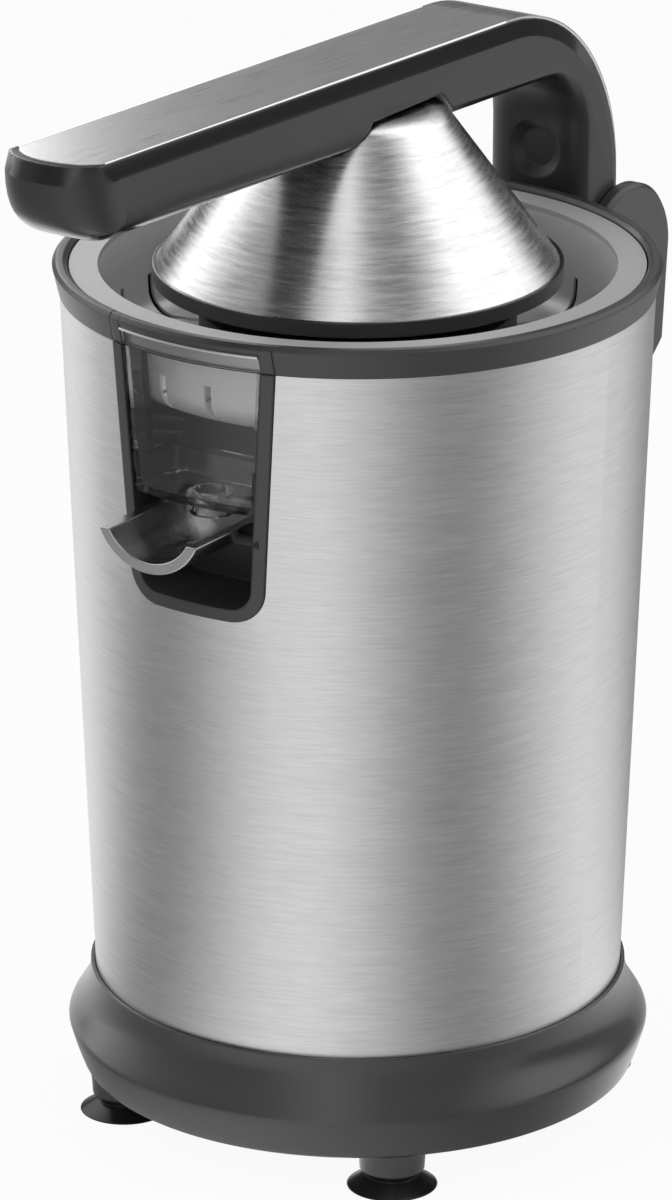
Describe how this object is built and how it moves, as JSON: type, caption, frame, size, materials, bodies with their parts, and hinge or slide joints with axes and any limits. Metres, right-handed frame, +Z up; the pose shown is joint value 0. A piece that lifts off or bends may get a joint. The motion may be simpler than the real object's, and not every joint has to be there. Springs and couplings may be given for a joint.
{
  "type": "electric citrus juicer",
  "caption": "Electric citrus juicer with a tapered steel body, a press cone under a long lever arm, a slotted strainer bowl and a tipping spout.",
  "frame": {"origin": "on the table under the body's axis, midway between the feet", "axes": "+Z up the body's axis, -Y towards the spout and the arm's tip, +Y towards the hinge, +X to the right of someone who faces +Y"},
  "size_m": [0.18, 0.2935, 0.3334],
  "materials": {
    "body_steel": "brushed round the body",
    "bright_steel": "polished",
    "press_steel": "brushed round the cone",
    "plate_steel": "brushed along the arm",
    "dark_plastic": "satin",
    "gloss_dark": "glossy",
    "smoky_clear": "clear, smoky",
    "black_plastic": "satin",
    "inner_plastic": "satin",
    "rubber": "glossy",
    "gear_nylon": "satin",
    "bush_brass": "turned",
    "bright_metal": "polished",
    "zinc_plate": "satin",
    "core_iron": "matt"
  },
  "bodies": {
    "body": {"base_housing": "dark_plastic", "base_plate": "black_plastic", "base_screws": "bright_metal", "cord_gland": "rubber", "foot_front_left": "rubber", "foot_front_right": "rubber", "foot_rear_left": "rubber", "foot_rear_right": "rubber", "steel_sleeve": "body_steel", "top_rim": "dark_plastic", "collector_lip": "dark_plastic", "juice_collector": "smoky_clear", "spout_surround": "dark_plastic", "strainer_bowl": "bright_steel", "strainer_dish": "bright_steel", "idler_axle": "bright_metal", "motor_can": "zinc_plate", "motor_screws": "bright_metal", "gear_plate": "zinc_plate", "plate_bush": "bush_brass", "deck_bush": "bush_brass", "gearbox_pillars": "bright_metal", "chassis_deck": "inner_plastic", "shaft_seal": "rubber", "start_switch": "black_plastic", "hinge_bracket": "dark_plastic", "bracket_screws": "bright_metal", "hinge_pin": "bright_metal"},
    "lever": {"lever_arm": "gloss_dark", "arm_plug": "gloss_dark", "arm_top_plate": "plate_steel", "press_pin": "bright_metal"},
    "press": {"press_cone": "press_steel", "press_ring": "gloss_dark", "press_liner": "inner_plastic", "press_lug": "bright_metal"},
    "drive": {"drive_gear": "gear_nylon"},
    "spindle": {"drive_spindle": "bright_metal", "reamer": "black_plastic", "reamer_skirt": "black_plastic", "return_spring": "bright_metal"},
    "idler": {"idler_gear": "gear_nylon"},
    "rotor": {"motor_shaft": "bright_metal", "motor_pinion": "bush_brass", "armature": "core_iron"},
    "plunger": {"switch_plunger": "gear_nylon"},
    "spout": {"spout_trough": "bright_steel"}
  },
  "joints": [
    {"name": "lever_hinge", "type": "hinge", "parent": "body", "child": "lever", "pos_m": [0, 0.10675, 0.242], "axis": [-1, 0, 0], "range_deg": [0, 70]},
    {"name": "press_tilt", "type": "hinge", "parent": "lever", "child": "press", "pos_m": [0, 0, 0.319], "axis": [1, 0, 0], "range_deg": [-1.5, 1.5]},
    {"name": "drive_spin", "type": "hinge", "parent": "body", "child": "drive", "pos_m": [0, 0, 0.182], "axis": [0, 0, 1], "continuous": true},
    {"name": "spindle_press", "type": "slide", "parent": "drive", "child": "spindle", "axis": [0, 0, -1], "range_m": [0, 0.0025], "stiffness_N_per_m": 3000, "springref_m": -0.002, "deforming": ["return_spring"]},
    {"name": "idler_spin", "type": "hinge", "parent": "body", "child": "idler", "pos_m": [0, 0.0375, 0.17], "axis": [0, 0, 1], "continuous": true},
    {"name": "rotor_spin", "type": "hinge", "parent": "body", "child": "rotor", "pos_m": [0.027, 0.0375, 0.13], "axis": [0, 0, 1], "continuous": true},
    {"name": "plunger_slide", "type": "slide", "parent": "body", "child": "plunger", "axis": [0, 0, -1], "range_m": [0, 0.0025]},
    {"name": "spout_tilt", "type": "hinge", "parent": "body", "child": "spout", "pos_m": [0, -0.082, 0.205], "axis": [-1, 0, 0], "range_deg": [0, 25]}
  ],
  "couplings": [
    {"joint": "idler_spin", "follows": "drive_spin", "ratio": -4},
    {"joint": "rotor_spin", "follows": "drive_spin", "ratio": 14},
    {"joint": "plunger_slide", "follows": "spindle_press", "ratio": 1}
  ]
}
